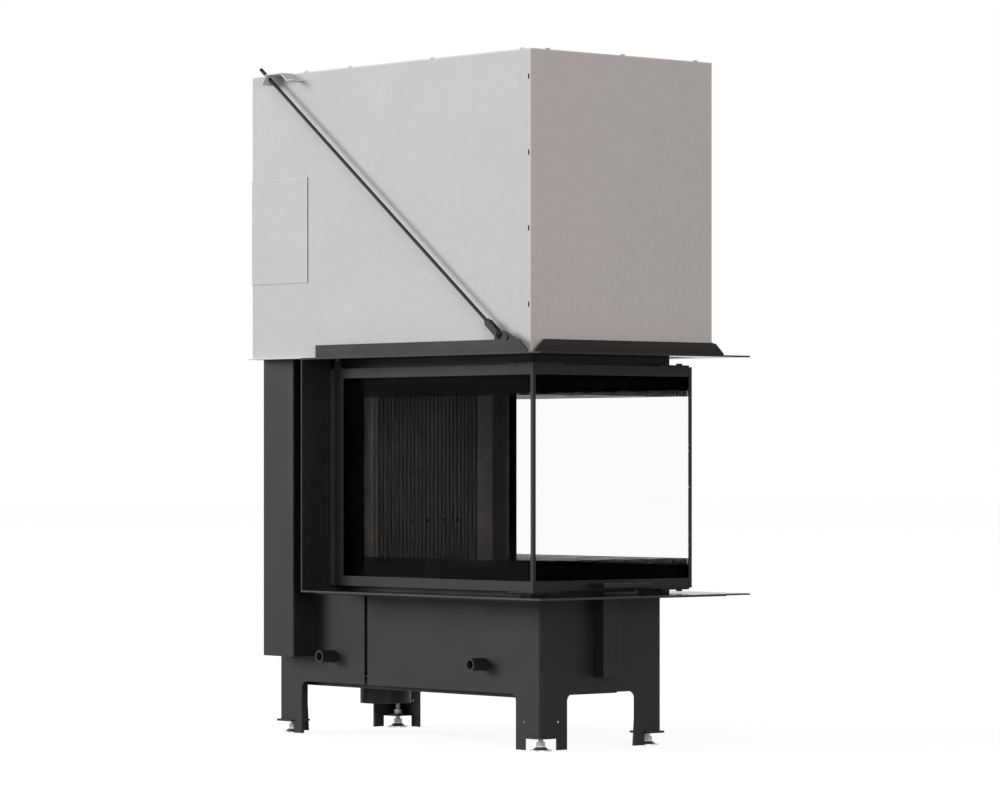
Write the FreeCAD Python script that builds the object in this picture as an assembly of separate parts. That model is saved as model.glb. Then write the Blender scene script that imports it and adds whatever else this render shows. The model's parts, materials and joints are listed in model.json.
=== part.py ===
import FreeCAD, Part
import math
import os

from FreeCAD import Vector

# Levels, from the floor up
base_height = 354.0
collar_plate = 4.0
door_bottom_gap = 12.0
door_height = 519.0
door_top_gap = 22.0
casing_height = 690.0

# Plan, measured back from the casing's front face
casing_side_gap = 35.0
casing_depth = 1025.0
casing_sheet = 2.0
collar_side_reach = 44.0
collar_front_reach = 84.0
collar_depth = 864.0
door_width = 500.0
door_setback = 31.0
door_depth = 718.0
base_side_inset = 60.0
base_setback = 74.0
base_depth = 962.0

# Fits
fit_gap = 0.3
slide_gap = 0.5
running_gap = 0.05
overrun = 5.0

# Pedestal shells
base_sheet = 3.0
base_bend_radius = 5.0
base_split = 624.0
base_split_gap = 12.0
base_lap = 22.0
base_seam_depth = 9.0
leg_width = 84.0
leg_tab_width = 32.0
leg_tab_clear = 2.0
leg_corner_height = 34.0
arch_height = 130.0
arch_radius = 17.0
leg_flange_height = 68.0
leg_flange_foot = 8.0
leg_hole_radius = 2.5
leg_hole_height = 67.0
leg_hole_inset = 57.0
damper_window_width = 24.0
damper_window_height = 76.0
damper_window_bottom = 206.0

# Air box pan and outside-air tube
tray_start = 120.0
tray_length = 771.0
tray_inset = 27.0
tray_drop = 11.0
tray_wall = 33.0
spigot_radius = 62.5
spigot_wall = 2.0
spigot_length = 45.0
spigot_back = 785.0

# Carrying tubes
tube_radius = 15.0
tube_bore_radius = 10.5
tube_height = 195.0
tube_reach = 44.0
tube_front_back = 196.0
tube_rear_back = 755.0

# Air control
housing_width = 50.0
housing_depth = 36.0
housing_height = 187.0
housing_sheet = 2.0
damper_shaft_radius = 6.0
damper_back_inset = 18.0
vane_rise = 35.0
vane_width = 27.0
vane_height = 84.0
vane_thickness = 4.0
lever_reach = 67.0
lever_width = 14.0
lever_thickness = 5.0
lever_lift = 1.5
lever_angle = 53.5
knob_radius = 7.0
knob_height = 12.0
knob_chamfer = 1.5

# Feet
foot_plate_thickness = 5.0
foot_plate_reach = 6.0
foot_inset = 22.0
stud_radius = 6.0
stud_length = 92.0
foot_disc_radius = 25.0
foot_disc_height = 3.0
foot_cone_radius = 19.0
foot_neck_radius = 11.0
foot_cone_height = 7.0
hex_flats = 19.0
hex_height = 11.0
foot_nut_height = 10.0

# Collar
collar_opening_margin = 12.0
lower_window_width = 300.0
lower_window_front = 130.0
lower_window_length = 500.0
doubler_inset = 19.0
doubler_front_inset = 60.0
doubler_width = 60.0
doubler_length = 772.0
stiffener_height = 30.0
stiffener_gap = 23.0
stiffener_front_inset = 60.0
stiffener_side_start = 69.0
stiffener_side_length = 763.0
stiffener_chamfer = 27.0
stiffener_toe = 6.0
stiffener_corner_gap = 16.0
lug_back = 180.0
lug_height = 20.0
lug_pin_rise = 13.5
lug_flat = 34.0
lug_slope = 44.0
lug_hole_radius = 4.0
lug_second_step = 30.0
lug_second_drop = 9.0

# Door
frame_face = 3.0
frame_return = 21.0
bar_height = 23.0
side_front_stile = 5.0
side_rear_stile = 31.0
front_stile = 9.0
glass_thickness = 4.0
glass_edge = 6.0
corner_clear = 2.0
corner_plate_length = 92.0
corner_plate_width = 20.0
corner_plate_thickness = 4.0
corner_plate_inset = 4.0
bolt_radius = 3.9
bolt_head_flats = 13.0
bolt_head_height = 4.0
bolt_spacing = 46.0
bolt_inset = 23.0

# Handle
handle_length = 150.0
handle_standoff = 38.0
handle_bar_depth = 12.0
handle_bar_height = 14.0
handle_post_width = 18.0
handle_rise = 3.0
handle_round = 4.0

# Carriage
upright_size = 20.0
upright_wall = 3.0
shoe_height = 60.0
shoe_head_depth = 20.0
shoe_neck_width = 12.0
shoe_end_inset = 6.0
rail_gap = 3.0
rail_width = 36.0
rail_depth = 30.0
rail_wall = 3.0
rail_slot = 14.0
rail_top_drop = 212.0
hook_size = 12.0
hook_height = 20.0

# Firebox
hearth_front = 74.0
hearth_clear = 1.0
hearth_height = 32.0
hearth_sheet = 3.0
hearth_gap = 2.0
slab_height = 26.0
grate_width = 180.0
grate_length = 280.0
grate_height = 18.0
grate_front = 220.0
grate_ledge = 8.0
grate_slot_width = 9.0
grate_slot_count = 8
grate_border = 16.0
lining_face = 697.0
lining_thickness = 25.0
lining_strip_width = 47.4
rib_count = 26
rib_depth = 5.0
rib_groove = 5.0
lining_top_drop = 61.0
lining_hole_radius = 4.0
lining_hole_height = 165.0
lining_hole_pitch = 48.0
lining_hole_count = 5
cheek_front = 645.0
cheek_thickness = 8.0
back_wall_sheet = 4.0
rim_height = 53.0
rim_sheet = 3.0
rim_ledge = 15.0
baffle_height = 20.0
baffle_throat = 120.0
hood_height = 235.0
hood_sheet = 3.0
hood_top_size = 250.0
flue_radius = 100.0
flue_wall = 3.0
flue_back = 450.0
flue_rise = 20.0
flue_hole_gap = 4.0

# Counterweight ducts and lift gear
duct_side_reach = 2.0
duct_depth = 119.0
duct_bottom = 192.0
duct_sheet = 2.0
duct_bend_radius = 3.0
shield_sheet = 3.0
shield_inset = 3.0
lift_plate = 4.0
lift_plate_inset = 2.0
lift_plate_window = 120.0
lift_plate_window_height = 240.0
lift_plate_window_drop = 440.0
shaft_radius = 10.0
shaft_drop = 115.0
shaft_end = 2.0
bearing_radius = 22.0
bearing_flange_radius = 30.0
bearing_flange = 6.0
pulley_width = 16.0
pulley_rim = 5.0
pulley_rim_height = 11.0
pulley_web = 6.0
pulley_hub_radius = 20.0
cable_radius = 2.0
cable_groove = 3.0
cable_inset = 17.0
weight_depth = 96.0
weight_height = 255.0
weight_drop = 110.0
weight_wall_gap = 6.0

# Casing
casing_lip = 8.0
tab_length = 14.0
tab_rise = 3.0
front_tab_step = 232.0
side_tab_backs = [30.0, 345.0, 648.0, 815.0]
edge_slot_width = 5.0
edge_slot_height = 12.0
edge_slot_inset = 3.0
edge_slot_levels = [109.0, 282.0, 454.0, 626.0]
hatch_thickness = 2.0
hatch_length = 217.0
hatch_height = 254.0
hatch_bottom = 183.0
hatch_hole_margin = 18.0

# Tie rods
rod_radius = 4.0
rod_length = 1061.0
rod_rise_angle = 37.0
rod_start = 38.0
clevis_length = 44.0
clevis_width = 15.0
clevis_socket = 18.0
clevis_slot_gap = 0.5
clevis_end_reach = 10.0
pin_radius = 4.0
pin_head_radius = 6.5
pin_head_height = 3.0
bracket_sheet = 3.0
bracket_run = 1056.0
bracket_tab = 28.0
bracket_flat = 54.0
bracket_step = 30.0
bracket_foot = 20.0
bracket_edge = 15.0
bracket_nut_height = 6.5
bracket_nut_flats = 13.0

# Derived levels and planes
lower_top = base_height + collar_plate
door_bottom = lower_top + door_bottom_gap
door_top = door_bottom + door_height
upper_bottom = door_top + door_top_gap
upper_top = upper_bottom + collar_plate
casing_top = upper_top + casing_height
overall_depth = collar_front_reach + base_setback + base_depth + foot_plate_reach
collar_front = -overall_depth / 2
casing_front = collar_front + collar_front_reach
casing_rear = casing_front + casing_depth
collar_rear = collar_front + collar_depth
door_front = casing_front + door_setback
door_rear = door_front + door_depth
door_half = door_width / 2
casing_half = door_half + casing_side_gap
collar_half = casing_half + collar_side_reach
base_front = casing_front + base_setback
base_rear = base_front + base_depth
base_half = door_half - base_side_inset
base_width = 2 * base_half
upright_x = door_half - frame_face - upright_size / 2
rail_inner = upright_x - rail_width / 2
rail_outer = upright_x + rail_width / 2
rail_front = door_rear + upright_size + rail_gap
rail_rear = rail_front + rail_depth
rail_top = casing_top - rail_top_drop + slide_gap
duct_front = casing_rear - duct_depth
duct_half = door_half + duct_side_reach
back_wall_front = casing_front + lining_face + lining_thickness
hearth_half = rail_inner - hearth_clear
hearth_start = casing_front + hearth_front
cheek_inner = hearth_half - hearth_gap - cheek_thickness
strip_inner = cheek_inner - fit_gap - lining_strip_width
lining_width = 2 * (strip_inner - fit_gap)
rib_pitch = lining_width / rib_count
rim_bottom = upper_bottom - rim_height
cable_x = door_half - cable_inset
door_cable_y = door_rear + upright_size / 2
weight_y = duct_front + duct_depth / 2
pulley_y = (door_cable_y + weight_y) / 2
pitch_radius = (weight_y - door_cable_y) / 2
shaft_z = casing_top - shaft_drop
floor_top = upper_top + casing_sheet
panel_top = casing_top - casing_sheet
damper_y = base_front - damper_back_inset
flue_y = casing_front + flue_back
hood_top = upper_bottom + hood_height
stiffener_half = casing_half + stiffener_gap
stiffener_front_half = stiffener_half - stiffener_corner_gap
lug_y = collar_front + lug_back
pin_y = lug_y - lug_flat / 3
pin_z = upper_top + stiffener_height + lug_pin_rise
weight_top = shaft_z - weight_drop
weight_outer = duct_half - duct_sheet - weight_wall_gap
weight_inner = base_half + duct_sheet + weight_wall_gap

X_AXIS = Vector(1, 0, 0)
Y_AXIS = Vector(0, 1, 0)
Z_AXIS = Vector(0, 0, 1)
ORIGIN = Vector(0, 0, 0)


def box(x0, x1, y0, y1, z0, z1):
    return Part.makeBox(x1 - x0, y1 - y0, z1 - z0, Vector(x0, y0, z0))


def rod(x, y, z, axis, radius, length):
    return Part.makeCylinder(radius, length, Vector(x, y, z), axis)


def tube(x, y, z, axis, radius, bore, length):
    start = Vector(x, y, z) - axis * overrun
    hole = Part.makeCylinder(bore, length + 2 * overrun, start, axis)
    return rod(x, y, z, axis, radius, length).cut(hole)


def mirror(shape):
    return shape.mirror(ORIGIN, X_AXIS)


def both(shape):
    return [shape, mirror(shape)]


def fuse(shapes):
    return shapes[0].multiFuse(shapes[1:]).removeSplitter()


def rounded_wire(points, radii):
    edges = []
    ends = []
    count = len(points)
    for i, corner in enumerate(points):
        radius = radii.get(i, 0)
        if not radius:
            ends.append((corner, corner, None))
            continue
        back = (points[i - 1] - corner).normalize()
        ahead = (points[(i + 1) % count] - corner).normalize()
        half = back.getAngle(ahead) / 2
        reach = radius / math.tan(half)
        centre = corner + (back + ahead).normalize() * (radius / math.sin(half))
        middle = centre + (corner - centre).normalize() * radius
        ends.append((corner + back * reach, corner + ahead * reach, middle))
    for i, (start, stop, middle) in enumerate(ends):
        if middle:
            edges.append(Part.Arc(start, middle, stop).toShape())
        after = ends[(i + 1) % count][0]
        edges.append(Part.LineSegment(stop, after).toShape())
    return Part.Wire(edges)


def prism(points, radii, run):
    return Part.Face(rounded_wire(points, radii)).extrude(run)


def plate_x(outline, radii, x0, x1):
    points = [Vector(x0, y, z) for y, z in outline]
    return prism(points, radii, X_AXIS * (x1 - x0))


def plate_y(outline, radii, y0, y1):
    points = [Vector(x, y0, z) for x, z in outline]
    return prism(points, radii, Y_AXIS * (y1 - y0))


def plate_z(outline, radii, z0, z1):
    points = [Vector(x, y, z0) for x, y in outline]
    return prism(points, radii, Z_AXIS * (z1 - z0))


def hexagon(x, y, z, axis, flats, length):
    side = Part.makePolygon([
        Vector(flats / math.sqrt(3) * math.cos(math.radians(a)),
               flats / math.sqrt(3) * math.sin(math.radians(a)), 0)
        for a in range(0, 361, 60)])
    shape = Part.Face(side).extrude(Z_AXIS * length)
    shape.Placement = FreeCAD.Placement(Vector(x, y, z), FreeCAD.Rotation(Z_AXIS, axis))
    return shape


def leg_side_outline(y_corner, y_split, toward):
    leg = y_corner + toward * leg_width
    tab = leg - toward * leg_tab_width
    return [(y_corner, base_height), (y_corner, leg_corner_height), (tab, leg_corner_height),
            (tab, leg_tab_clear), (leg, leg_tab_clear), (leg, arch_height),
            (y_split, arch_height), (y_split, base_height)]


def leg_end_outline():
    leg = base_half - leg_width
    tab = leg + leg_tab_width
    half = [(base_half, base_height), (base_half, leg_corner_height), (tab, leg_corner_height),
            (tab, leg_tab_clear), (leg, leg_tab_clear), (leg, arch_height)]
    return half + [(-x, z) for x, z in reversed(half)]


def base_shell(y_corner, y_split, toward, tube_y):
    inner = y_corner + toward * base_sheet
    side = plate_x(leg_side_outline(y_corner, y_split, toward), {5: arch_radius},
                   -base_half, -base_half + base_sheet)
    end = plate_y(leg_end_outline(), {5: arch_radius, 6: arch_radius}, min(y_corner, inner),
                  max(y_corner, inner))
    edge = y_corner + toward * leg_width
    x_edge = base_half - leg_width
    side_flange = plate_y([(-base_half, leg_tab_clear), (-base_half + leg_flange_foot, leg_tab_clear),
                           (-base_half + base_sheet, leg_flange_height),
                           (-base_half, leg_flange_height)], {},
                          min(edge, edge - toward * base_sheet), max(edge, edge - toward * base_sheet))
    end_flange = plate_x([(y_corner, leg_tab_clear), (y_corner + toward * leg_flange_foot, leg_tab_clear),
                          (y_corner + toward * base_sheet, leg_flange_height),
                          (y_corner, leg_flange_height)], {}, -x_edge - base_sheet, -x_edge)
    flanges = both(side_flange) + both(end_flange)
    shell = fuse([side, mirror(side), end] + flanges)
    bend = [e for e in shell.Edges
            if abs(e.BoundBox.ZLength - (base_height - leg_corner_height)) < fit_gap
            and abs(abs(e.BoundBox.XMin) - base_half) < fit_gap and abs(e.BoundBox.YMin - y_corner) < fit_gap]
    shell = shell.makeFillet(base_bend_radius, bend)
    hole = rod(-base_half - overrun, tube_y, tube_height, X_AXIS, tube_radius + fit_gap,
               base_width + 2 * overrun)
    dots = [rod(-base_half - overrun, y_corner + toward * leg_hole_inset, leg_hole_height, X_AXIS,
                leg_hole_radius, base_width + 2 * overrun)]
    for side_x in (-1, 1):
        dots.append(rod(side_x * (base_half - leg_hole_inset), y_corner - overrun, leg_hole_height, Y_AXIS,
                        leg_hole_radius, 2 * overrun))
    return shell.cut([hole] + dots)


def base_front_shell():
    shell = base_shell(base_front, base_front + base_split, 1, base_front + tube_front_back)
    shell = fuse([shell] + seam_flanges(base_front + base_split - base_sheet))
    window = box(-damper_window_width / 2, damper_window_width / 2, base_front - overrun,
                 base_front + base_sheet + overrun, damper_window_bottom,
                 damper_window_bottom + damper_window_height)
    return shell.cut(window)


def seam_flanges(start):
    flange = box(-base_half, -base_half + base_seam_depth, start, start + base_sheet, arch_height + tray_wall,
                 base_height)
    return both(flange)


def base_rear_shell():
    split = base_front + base_split + base_split_gap
    shell = base_shell(base_rear, split, -1, base_front + tube_rear_back)
    lap_x = -base_half + base_seam_depth
    lap = box(lap_x, lap_x + base_sheet, split - base_split_gap - base_lap, split + base_sheet,
              arch_height + tray_wall, base_height)
    return fuse([shell, lap, mirror(lap)] + seam_flanges(split))


def base_tray():
    start = base_front + tray_start
    half = base_half - base_sheet
    bottom = arch_height - tray_drop
    pan_half = half - tray_inset
    pan = box(-pan_half, pan_half, start, start + tray_length, bottom, bottom + tray_wall)
    lip = box(-half, half, start, start + tray_length, bottom + tray_wall - base_sheet, bottom + tray_wall)
    hollow = box(-pan_half + base_sheet, pan_half - base_sheet, start + base_sheet,
                 start + tray_length - base_sheet, bottom + base_sheet, bottom + tray_wall + overrun)
    hole = rod(0, base_front + spigot_back, bottom - overrun, Z_AXIS, spigot_radius - spigot_wall,
               base_sheet + 2 * overrun)
    return fuse([pan, lip]).cut([hollow, hole])


def air_inlet_spigot():
    top = arch_height - tray_drop
    return tube(0, base_front + spigot_back, top - spigot_length, Z_AXIS, spigot_radius,
                spigot_radius - spigot_wall, spigot_length)


def carrying_tubes():
    reach = base_half + tube_reach
    return [tube(-reach, base_front + back, tube_height, X_AXIS, tube_radius, tube_bore_radius, 2 * reach)
            for back in (tube_front_back, tube_rear_back)]


def air_control_housing():
    half = housing_width / 2
    front = base_front - housing_depth
    bottom = base_height - housing_height
    shell = box(-half, half, front, base_front, bottom, base_height)
    hollow = box(-half + housing_sheet, half - housing_sheet, front + housing_sheet, base_front + overrun,
                 bottom + housing_sheet, base_height + overrun)
    hole = rod(0, damper_y, bottom - overrun, Z_AXIS, damper_shaft_radius + running_gap, 2 * overrun)
    return shell.cut([hollow, hole])


def foot_centres():
    x = base_half - foot_inset
    return {"front_left": (-x, base_front + foot_inset), "front_right": (x, base_front + foot_inset),
            "rear_left": (-x, base_rear - foot_inset), "rear_right": (x, base_rear - foot_inset)}


def foot_plates():
    plates = []
    notch = leg_width - leg_tab_width - fit_gap
    bottom = leg_corner_height - foot_plate_thickness
    for x, y in foot_centres().values():
        out_x = math.copysign(1, x)
        in_y = -math.copysign(1, y)
        corner_x = out_x * base_half
        corner_y = base_front if in_y > 0 else base_rear
        xs = sorted([corner_x + out_x * foot_plate_reach, corner_x - out_x * notch])
        ys = sorted([corner_y - in_y * foot_plate_reach, corner_y + in_y * notch])
        plate = box(xs[0], xs[1], ys[0], ys[1], bottom, leg_corner_height)
        hole = rod(x, y, bottom - overrun, Z_AXIS, stud_radius + fit_gap, foot_plate_thickness + 2 * overrun)
        plates.append(plate.cut(hole))
    return plates


def foot_nuts():
    nuts = []
    for x, y in foot_centres().values():
        nut = hexagon(x, y, leg_corner_height, Z_AXIS, hex_flats, foot_nut_height)
        hole = rod(x, y, leg_corner_height - overrun, Z_AXIS, stud_radius + fit_gap,
                   foot_nut_height + 2 * overrun)
        nuts.append(nut.cut(hole))
    return nuts


def levelling_foot(x, y):
    disc = rod(x, y, 0, Z_AXIS, foot_disc_radius, foot_disc_height)
    cone = Part.makeCone(foot_cone_radius, foot_neck_radius, foot_cone_height,
                         Vector(x, y, foot_disc_height), Z_AXIS)
    hex_bottom = foot_disc_height + foot_cone_height
    nut = hexagon(x, y, hex_bottom, Z_AXIS, hex_flats, hex_height)
    stud = rod(x, y, hex_bottom, Z_AXIS, stud_radius, stud_length - hex_bottom)
    return fuse([disc, cone, nut, stud])


def lower_collar_plate():
    plate = box(-collar_half, collar_half, collar_front, collar_rear, base_height, lower_top)
    rear = box(-base_half, base_half, collar_rear, base_rear, base_height, lower_top)
    inset = collar_half - doubler_inset
    start = collar_front + doubler_front_inset
    drop = base_height - collar_plate
    frame = box(-inset, inset, start, start + doubler_length, drop, base_height)
    inside = box(-inset + doubler_width, inset - doubler_width, start + doubler_width,
                 start + doubler_length + overrun, drop - overrun, base_height)
    window_y = casing_front + lower_window_front
    window = box(-lower_window_width / 2, lower_window_width / 2, window_y, window_y + lower_window_length,
                 drop - overrun, lower_top + overrun)
    pivot = rod(0, damper_y, drop - overrun, Z_AXIS, damper_shaft_radius + running_gap,
                2 * collar_plate + 2 * overrun)
    return fuse([plate, rear, frame.cut(inside)]).cut([window, pivot])


def upper_collar_plate():
    plate = box(-collar_half, collar_half, collar_front, collar_rear, upper_bottom, upper_top)
    half = door_half + collar_opening_margin
    opening = box(-half, half, door_front - collar_opening_margin, collar_rear + overrun,
                  upper_bottom - overrun, upper_top + overrun)
    return plate.cut(opening)


def rear_collars():
    wing = box(-collar_half, -rail_outer, collar_rear - collar_plate, collar_rear, lower_top, upper_bottom)
    return both(wing)


def upper_stiffeners():
    top = upper_top + stiffener_height
    start = collar_front + stiffener_side_start
    end = start + stiffener_side_length
    crest = top + lug_height
    flat_start = lug_y - lug_flat
    outline = [(start, upper_top), (end, upper_top), (end, top), (lug_y, top), (lug_y, crest),
               (flat_start, crest), (flat_start - lug_slope, top), (start + stiffener_chamfer, top),
               (start, upper_top + stiffener_toe)]
    half = collar_plate / 2
    side = plate_x(outline, {}, -stiffener_half - half, -stiffener_half + half)
    holes = [rod(-stiffener_half - overrun, y, z, X_AXIS, lug_hole_radius, 2 * overrun)
             for y, z in ((pin_y, pin_z), (pin_y - lug_second_step, pin_z - lug_second_drop))]
    side = side.cut(holes)
    y = collar_front + stiffener_front_inset
    edge = stiffener_front_half - stiffener_chamfer
    front = plate_y([(-stiffener_front_half, upper_top), (stiffener_front_half, upper_top),
                     (stiffener_front_half, upper_top + stiffener_toe), (edge, top), (-edge, top),
                     (-stiffener_front_half, upper_top + stiffener_toe)], {}, y - half, y + half)
    return both(side) + [front]


def hearth_tray():
    tray = box(-hearth_half, hearth_half, hearth_start, back_wall_front, lower_top, lower_top + hearth_height)
    hollow = box(-hearth_half + hearth_sheet, hearth_half - hearth_sheet, hearth_start + hearth_sheet,
                 back_wall_front - hearth_sheet, lower_top + hearth_sheet,
                 lower_top + hearth_height + overrun)
    return tray.cut(hollow)


def grate_box(margin, bottom, top):
    start = casing_front + grate_front
    return box(-grate_width / 2 - margin, grate_width / 2 + margin, start - margin,
               start + grate_length + margin, bottom, top)


def hearth_slab():
    half = hearth_half - hearth_sheet - hearth_gap
    bottom = lower_top + hearth_sheet
    slab = box(-half, half, hearth_start + hearth_sheet + hearth_gap,
               back_wall_front - hearth_sheet - hearth_gap, bottom, bottom + slab_height)
    seat = grate_box(fit_gap, bottom + slab_height - grate_height, bottom + slab_height + overrun)
    well = grate_box(-grate_ledge, bottom - overrun, bottom + slab_height)
    return slab.cut([seat, well])


def fire_grate():
    top = lower_top + hearth_sheet + slab_height
    grate = grate_box(0, top - grate_height, top)
    inner = grate_width - 2 * grate_border
    pitch = inner / grate_slot_count
    start = casing_front + grate_front + grate_border
    slots = []
    for i in range(grate_slot_count):
        x = -inner / 2 + pitch * (i + 1 / 2)
        slots.append(box(x - grate_slot_width / 2, x + grate_slot_width / 2, start,
                         start + grate_length - 2 * grate_border, top - grate_height - overrun,
                         top + overrun))
    return grate.cut(slots)


def firebox_back_wall():
    wall = box(-rail_inner, rail_inner, back_wall_front, back_wall_front + back_wall_sheet, lower_top,
               upper_bottom)
    side = box(-rail_inner, -rail_inner + back_wall_sheet, back_wall_front, duct_front, lower_top,
               upper_bottom)
    return fuse([wall, side, mirror(side)])


def lining_span():
    return lower_top + hearth_height, upper_bottom - lining_top_drop


def back_lining_ribbed():
    bottom, top = lining_span()
    face = casing_front + lining_face
    panel = box(-lining_width / 2, lining_width / 2, face, back_wall_front, bottom, top)
    first = -rib_pitch * (rib_count - 1) / 2
    grooves = []
    for i in range(rib_count):
        x = first + rib_pitch * i
        grooves.append(box(x - rib_groove / 2, x + rib_groove / 2, face - overrun, face + rib_depth,
                           bottom - overrun, top + overrun))
    holes = []
    for i in range(lining_hole_count):
        x = lining_hole_pitch * (i - (lining_hole_count - 1) / 2)
        holes.append(rod(x, face - overrun, lower_top + lining_hole_height, Y_AXIS, lining_hole_radius,
                         lining_thickness + 2 * overrun))
    return panel.cut(grooves + holes)


def lining_cheeks():
    bottom, top = lining_span()
    cheek = box(-cheek_inner - cheek_thickness, -cheek_inner, casing_front + cheek_front, back_wall_front,
                bottom, top)
    return both(cheek)


def back_lining_strips():
    bottom, top = lining_span()
    strip = box(-strip_inner - lining_strip_width, -strip_inner, casing_front + lining_face, back_wall_front,
                bottom, top)
    return both(strip)


def hood_rim():
    rim = box(-hearth_half, hearth_half, hearth_start, back_wall_front, rim_bottom, upper_bottom)
    hollow = box(-hearth_half + rim_sheet, hearth_half - rim_sheet, hearth_start + rim_sheet,
                 back_wall_front - rim_sheet, rim_bottom + rim_sheet, upper_bottom + overrun)
    throat = box(-hearth_half + rim_ledge, hearth_half - rim_ledge, hearth_start + rim_ledge,
                 back_wall_front - rim_ledge, rim_bottom - overrun, rim_bottom + rim_sheet + overrun)
    return rim.cut([hollow, throat])


def baffle():
    half = hearth_half - rim_sheet - hearth_gap
    bottom = rim_bottom + rim_sheet
    return box(-half, half, hearth_start + baffle_throat, back_wall_front - rim_sheet - hearth_gap,
               bottom, bottom + baffle_height)


def hood_form(inset, bottom, top):
    half = hood_top_size / 2 - inset
    front = hearth_start + inset
    rear = back_wall_front - inset
    side = hearth_half - inset
    low = [Vector(x, y, bottom) for x, y in ((-side, front), (side, front), (side, rear), (-side, rear))]
    corners = ((-half, -half), (half, -half), (half, half), (-half, half))
    high = [Vector(x, flue_y + y, top) for x, y in corners]
    rings = [low, high] + [[low[i], low[(i + 1) % 4], high[(i + 1) % 4], high[i]] for i in range(4)]
    faces = [Part.Face(Part.makePolygon(ring + ring[:1])) for ring in rings]
    return Part.Solid(Part.Shell(faces))


def smoke_hood():
    outer = hood_form(0, upper_bottom, hood_top)
    inner = hood_form(hood_sheet, upper_bottom, hood_top - hood_sheet)
    hole = rod(0, flue_y, hood_top - hood_sheet - overrun, Z_AXIS, flue_radius - flue_wall,
               hood_sheet + 2 * overrun)
    return outer.cut([inner, hole])


def flue_pipe():
    return tube(0, flue_y, hood_top, Z_AXIS, flue_radius, flue_radius - flue_wall,
                casing_top + flue_rise - hood_top)


def counterweight_ducts():
    duct = box(-duct_half, -base_half, duct_front, casing_rear, duct_bottom, upper_top)
    corner = [e for e in duct.Edges
              if e.BoundBox.ZLength > duct_depth and e.BoundBox.XMin < -duct_half + fit_gap]
    duct = duct.makeFillet(duct_bend_radius, corner)
    hollow = box(-duct_half + duct_sheet, -base_half - duct_sheet, duct_front + duct_sheet,
                 casing_rear - duct_sheet, duct_bottom + duct_sheet, upper_top + overrun)
    return both(duct.cut(hollow))


def rear_shield():
    rear = casing_rear - shield_inset
    return box(-base_half, base_half, rear - shield_sheet, rear, lower_top, upper_top)


def guide_rails():
    rail = box(-rail_outer, -rail_inner, rail_front, rail_rear, lower_top, rail_top)
    hollow = box(-rail_outer + rail_wall, -rail_inner - rail_wall, rail_front + rail_wall,
                 rail_rear - rail_wall, lower_top - overrun, rail_top + overrun)
    slot = box(-upright_x - rail_slot / 2, -upright_x + rail_slot / 2, rail_front - overrun,
               rail_front + rail_wall + overrun, lower_top - overrun, rail_top + overrun)
    return both(rail.cut([hollow, slot]))


def lift_side_plates():
    plate = box(-rail_outer - lift_plate, -rail_outer, rail_front,
                casing_rear - casing_sheet - lift_plate_inset, floor_top, panel_top)
    seat = rod(-rail_outer - lift_plate - overrun, pulley_y, shaft_z, X_AXIS, bearing_radius,
               lift_plate + 2 * overrun)
    half = lift_plate_window / 2
    low = shaft_z - lift_plate_window_drop
    window = box(-rail_outer - lift_plate - overrun, -rail_outer + overrun, pulley_y - half, pulley_y + half,
                 low, low + lift_plate_window_height)
    return both(plate.cut([seat, window]))


def shaft_bearings():
    outer = -rail_outer - lift_plate
    body = rod(outer, pulley_y, shaft_z, X_AXIS, bearing_radius, lift_plate)
    flange = rod(-rail_outer, pulley_y, shaft_z, X_AXIS, bearing_flange_radius, bearing_flange)
    bore = rod(outer - overrun, pulley_y, shaft_z, X_AXIS, shaft_radius + running_gap,
               lift_plate + bearing_flange + 2 * overrun)
    return both(fuse([body, flange]).cut(bore))


def lift_shaft():
    half = rail_outer + lift_plate + shaft_end
    return rod(-half, pulley_y, shaft_z, X_AXIS, shaft_radius, 2 * half)


def pulleys():
    half = pulley_width / 2
    rim_radius = pitch_radius + pulley_rim
    inner = rim_radius - pulley_rim_height
    rim = tube(-cable_x - half, pulley_y, shaft_z, X_AXIS, rim_radius, inner, pulley_width)
    web = tube(-cable_x - pulley_web / 2, pulley_y, shaft_z, X_AXIS, inner, shaft_radius, pulley_web)
    hub = tube(-cable_x - half, pulley_y, shaft_z, X_AXIS, pulley_hub_radius, shaft_radius, pulley_width)
    groove = tube(-cable_x - cable_groove, pulley_y, shaft_z, X_AXIS, rim_radius + overrun,
                  pitch_radius - cable_groove, 2 * cable_groove)
    return both(fuse([rim, web, hub]).cut(groove))


def cable_run(y, bottom):
    return both(rod(-cable_x, y, bottom, Z_AXIS, cable_radius, shaft_z - bottom))


def door_cables():
    return cable_run(door_cable_y, door_top + hook_height)


def counterweight_cables():
    return cable_run(weight_y, weight_top + hook_height)


def pulley_cables():
    ring = tube(-cable_x - cable_radius, pulley_y, shaft_z, X_AXIS, pitch_radius + cable_radius,
                pitch_radius - cable_radius, 2 * cable_radius)
    reach = pitch_radius + pulley_rim
    upper = box(-cable_x - overrun, -cable_x + overrun, pulley_y - reach, pulley_y + reach, shaft_z,
                shaft_z + reach)
    return both(ring.common(upper))


def counterweights():
    block = box(-weight_outer, -weight_inner, weight_y - weight_depth / 2, weight_y + weight_depth / 2,
                weight_top - weight_height, weight_top)
    hook = box(-cable_x - hook_size / 2, -cable_x + hook_size / 2, weight_y - hook_size / 2,
               weight_y + hook_size / 2, weight_top, weight_top + hook_height)
    return both(fuse([block, hook]))


def casing_floor():
    half = casing_half + casing_lip
    plate = box(-half, half, casing_front - casing_lip, casing_rear + casing_lip, upper_top, floor_top)
    opening_half = door_half + collar_opening_margin
    low = upper_top - overrun
    high = floor_top + overrun
    door_way = box(-opening_half, opening_half, door_front - collar_opening_margin, rail_rear + casing_sheet,
                   low, high)
    duct_way = box(-duct_half + duct_sheet, -base_half - duct_sheet, duct_front + duct_sheet,
                   casing_rear - duct_sheet, low, high)
    return plate.cut([door_way, duct_way, mirror(duct_way)])


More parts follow.
